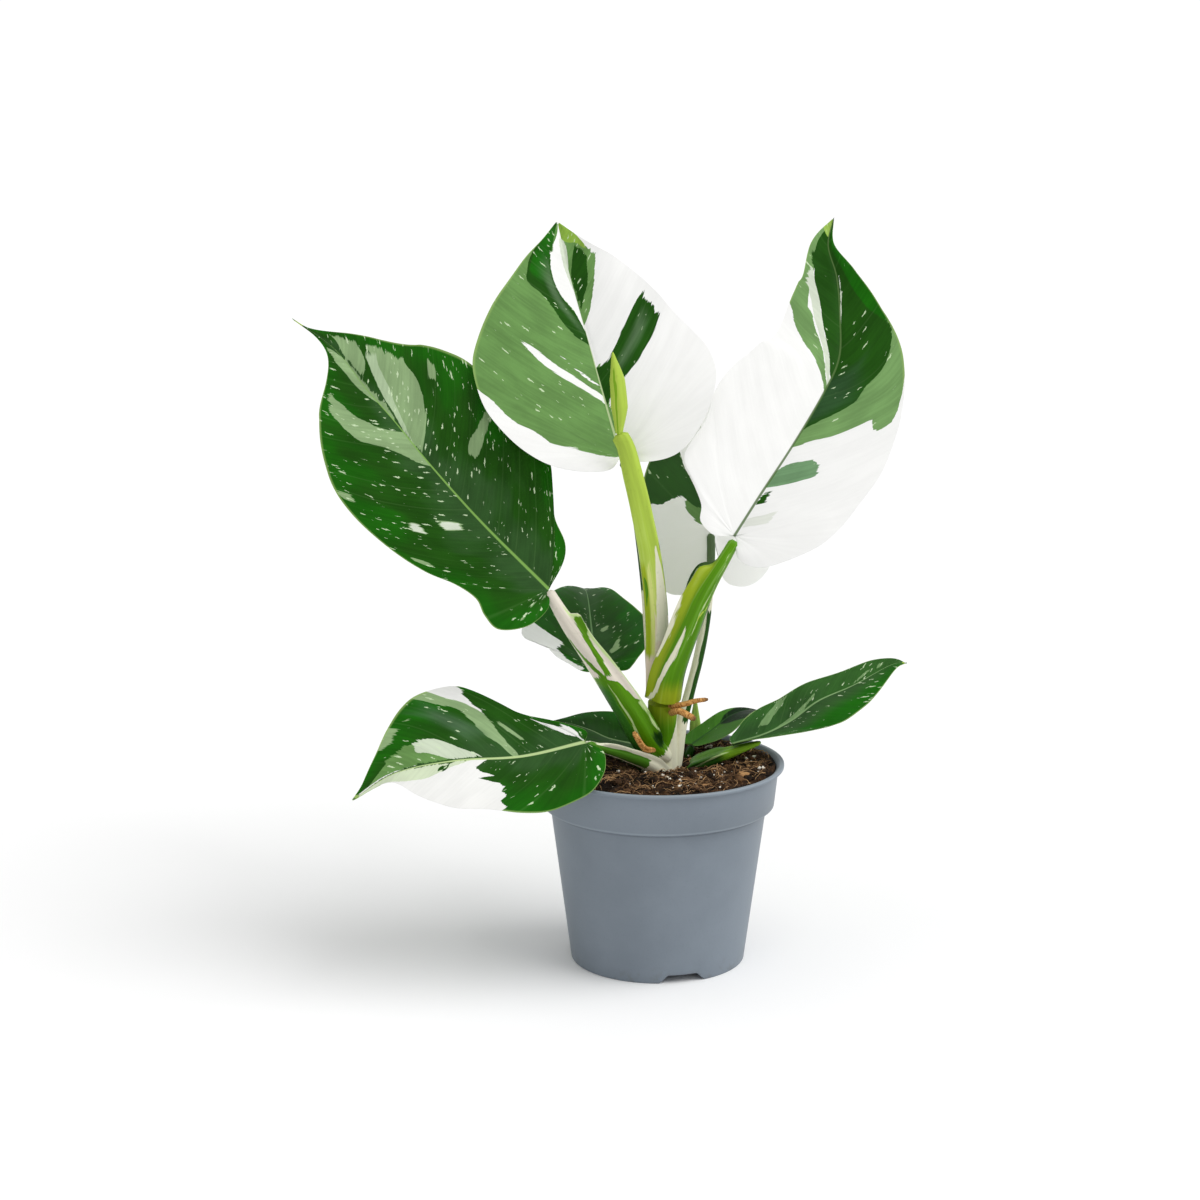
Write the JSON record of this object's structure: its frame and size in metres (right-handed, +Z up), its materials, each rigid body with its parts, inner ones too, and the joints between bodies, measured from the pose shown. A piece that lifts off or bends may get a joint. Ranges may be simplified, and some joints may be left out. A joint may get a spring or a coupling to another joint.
{
  "type": "potted philodendron",
  "caption": "Young variegated philodendron with white and green heart-shaped leaves on arching stalks, growing in a tapered plastic nursery pot filled with potting mix.",
  "frame": {"origin": "middle of the pot's underside, on the flat pad that the pot stands on", "axes": "+Z up, the plant's front faces -Y and +X is to the right as seen from the front"},
  "size_m": [0.298, 0.1749, 0.3501],
  "materials": {
    "pot": "satin",
    "soil": "rough",
    "leaf_green": "satin",
    "leaf_half_white": "satin",
    "leaf_white": "satin",
    "stalk_green": "satin",
    "stalk_lime": "satin",
    "stalk_white": "satin",
    "root": "matte"
  },
  "bodies": {
    "root": {"pot": "pot", "soil": "soil", "stem": "stalk_green", "petiole_right": "stalk_green", "petiole_left": "stalk_green", "stalk_new_leaf": "stalk_lime", "petiole_centre": "stalk_green", "petiole_back": "stalk_white", "petiole_low_left": "stalk_white", "petiole_low_right": "stalk_green", "petiole_back_left": "stalk_green", "petiole_low_back_left": "stalk_green", "petiole_low_back_right": "stalk_green", "side_shoot": "stalk_lime", "root_right_long": "root", "root_right_short": "root", "root_left": "root", "new_leaf": "stalk_lime", "blade_left": "leaf_green", "blade_centre": "leaf_half_white", "blade_right": "leaf_white", "blade_low_left": "leaf_green", "blade_low_right": "leaf_green", "blade_back": "leaf_white", "blade_back_left": "leaf_green", "blade_low_back_left": "leaf_green", "blade_low_back_right": "leaf_green"}
  },
  "joints": []
}
